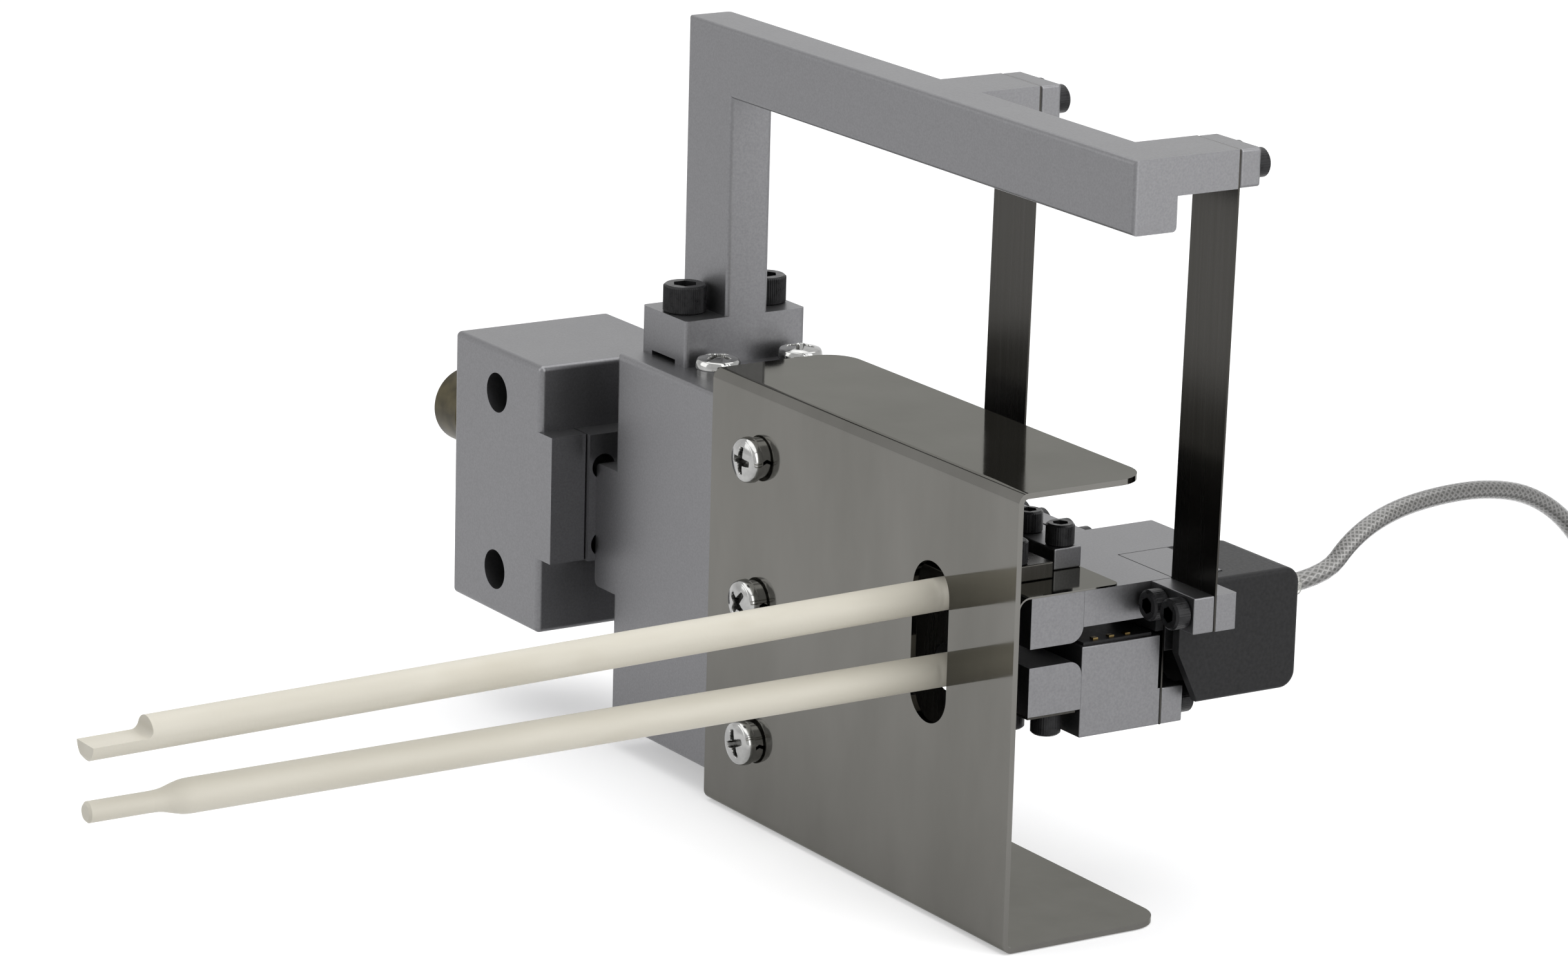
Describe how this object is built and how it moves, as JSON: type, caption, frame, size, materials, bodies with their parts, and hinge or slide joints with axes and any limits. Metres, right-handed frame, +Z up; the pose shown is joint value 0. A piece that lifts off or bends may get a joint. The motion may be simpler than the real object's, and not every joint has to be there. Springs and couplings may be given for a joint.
{
  "type": "displacement_gauge",
  "caption": "Clip-on displacement gauge with ceramic rods, a folded heat shield, spring straps, an aluminium support arm and a clamp block with a brass knob",
  "frame": {"origin": "bottom centre of the gauge's bounding box without its cable", "axes": "+Z up, the rods point to -Y, the mounting block is on the -X side"},
  "size_m": [0.2031, 0.3823, 0.136],
  "materials": {
    "machined_aluminium": "fine machined with softened edges",
    "stainless_sheet": "smooth rolled sheet",
    "black_cover": "black anodised, satin",
    "black_screws": "black oxide",
    "steel_screws": "bright nickel plated",
    "spring_steel": "dark rolled spring steel",
    "ceramic": "dense alumina, matt",
    "brass": "turned, a little tarnished",
    "gold_strip": "gold plated pads",
    "cable": "clear jacket over a silver braid",
    "connector_shell": "turned shell"
  },
  "bodies": {
    "mount": {"mounting_block": "machined_aluminium", "slide_plate": "machined_aluminium", "upright_body": "machined_aluminium", "heat_shield": "stainless_sheet", "web_screws": "steel_screws", "web_washers": "steel_screws", "top_screws": "steel_screws", "top_washers": "steel_screws", "support_arm": "machined_aluminium", "foot_screws": "black_screws", "upper_clamp_left": "machined_aluminium", "upper_clamp_right": "machined_aluminium", "upper_clamp_screws": "black_screws", "cable_sleeve": "cable", "cable_tube": "cable", "cable_coil": "cable", "cable_connector": "connector_shell"},
    "knob": {"clamp_knob": "brass"},
    "gauge": {"strap_left": "spring_steel", "strap_right": "spring_steel", "right_strap_lug": "machined_aluminium", "right_saddle": "machined_aluminium", "right_lug_screws": "black_screws", "left_strap_bar": "machined_aluminium", "left_rear_bar": "machined_aluminium", "left_bar_screws": "black_screws", "upper_arm": "machined_aluminium", "upper_rod_clamp": "machined_aluminium", "upper_rod": "ceramic", "hold_leaf": "spring_steel", "press_pad": "spring_steel", "press_pad_screws": "black_screws", "clamp_bar": "machined_aluminium", "clamp_bar_screws": "black_screws", "flexure_leaf": "spring_steel", "upper_flexure_pad": "black_cover", "flexure_clip": "black_cover", "transducer_cover": "black_cover", "cable_grommet": "black_cover"},
    "lower": {"lower_arm": "machined_aluminium", "lower_rod_clamp": "machined_aluminium", "lower_rod": "ceramic", "low_leaf": "spring_steel", "low_leaf_screws": "black_screws", "rear_plate": "machined_aluminium", "rear_plate_screws": "black_screws", "terminal_strip": "black_cover", "solder_pads": "gold_strip"}
  },
  "joints": [
    {"name": "knob_turn", "type": "hinge", "parent": "mount", "child": "knob", "pos_m": [-0.0888, 0.04986, 0.0526], "axis": [1, 0, 0], "range_deg": [-180, 180]},
    {"name": "gauge_swing", "type": "hinge", "parent": "mount", "child": "gauge", "pos_m": [0.0612, 0.08436, 0.1294], "axis": [1, 0, 0], "range_deg": [-0.8, 0.8], "stiffness_Nm_per_rad": 8, "springref_deg": -0.3, "deforming": ["strap_left", "strap_right"]},
    {"name": "arm_opening", "type": "hinge", "parent": "gauge", "child": "lower", "pos_m": [0.0767, 0.08311, 0.0435], "axis": [1, 0, 0], "range_deg": [-0.5, 1.2], "stiffness_Nm_per_rad": 8, "springref_deg": -0.15, "deforming": ["flexure_leaf"]}
  ]
}
